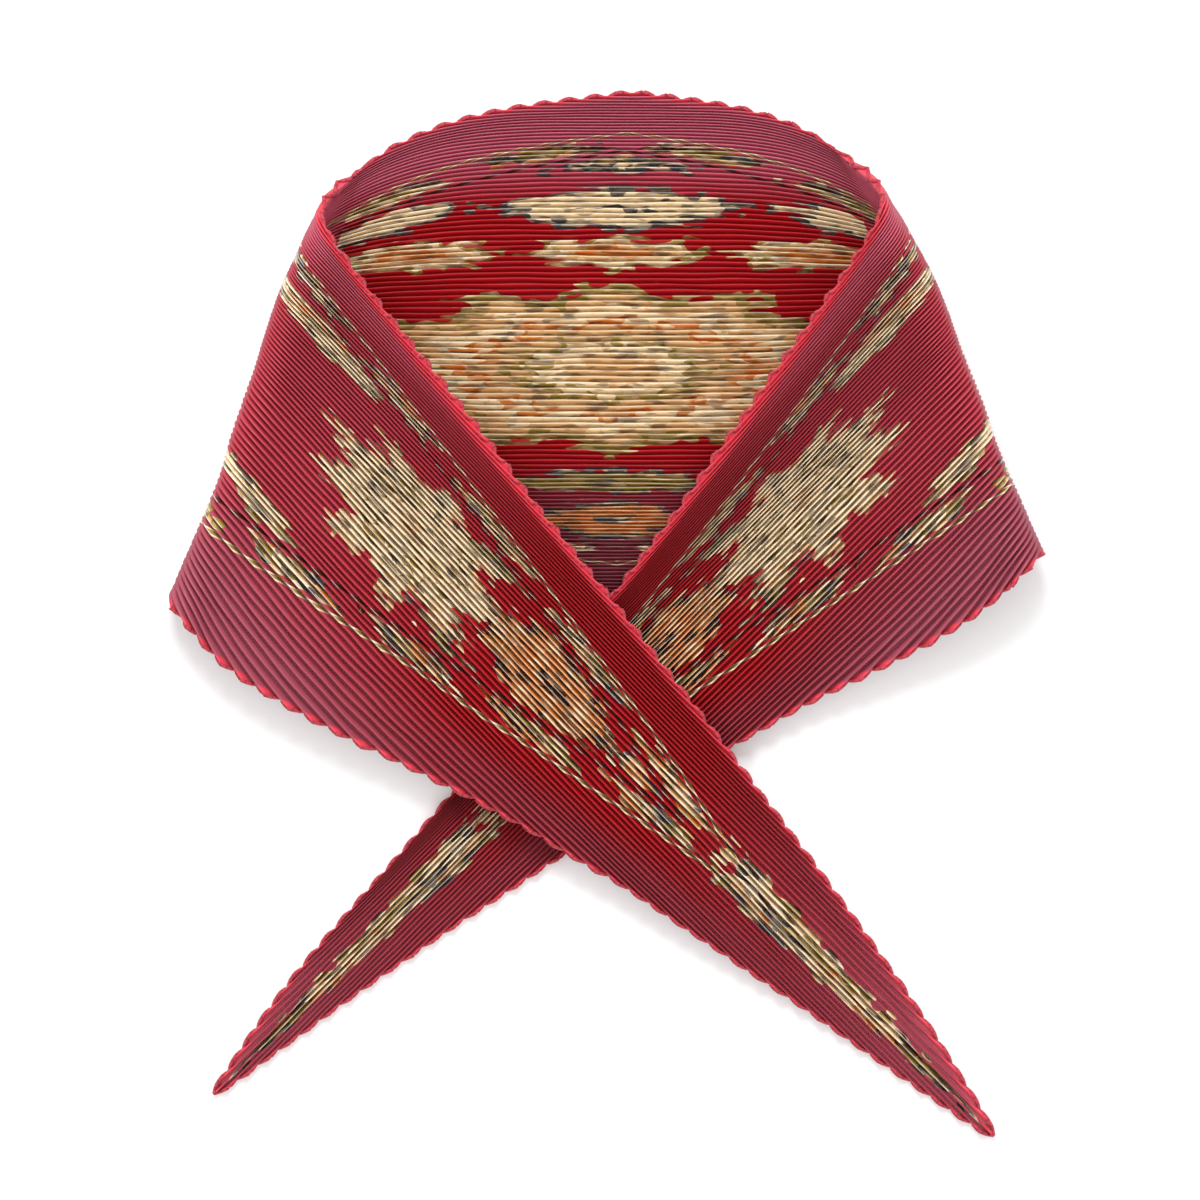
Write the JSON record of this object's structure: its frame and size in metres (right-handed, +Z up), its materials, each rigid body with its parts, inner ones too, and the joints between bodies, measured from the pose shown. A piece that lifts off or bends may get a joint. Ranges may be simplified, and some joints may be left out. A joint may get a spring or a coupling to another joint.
{
  "type": "pleated square scarf",
  "caption": "Square silk scarf in fine diagonal pleats, laid flat on its back with soft side folds and its two tapering ends crossed in front.",
  "frame": {"origin": "middle of the scarf's outline seen from above, on the surface that it lies on", "axes": "+X towards the tail that lies on top, +Y towards the neck, +Z up off the surface"},
  "size_m": [0.3866, 0.4626, 0.0371],
  "materials": {
    "silk": "satin silk twill, accordion pleated"
  },
  "bodies": {
    "root": {"back": "silk", "left_side_fold": "silk", "right_side_fold": "silk", "left_front_panel": "silk", "right_front_panel": "silk", "right_hand_tail": "silk", "left_hand_tail": "silk"}
  },
  "joints": []
}
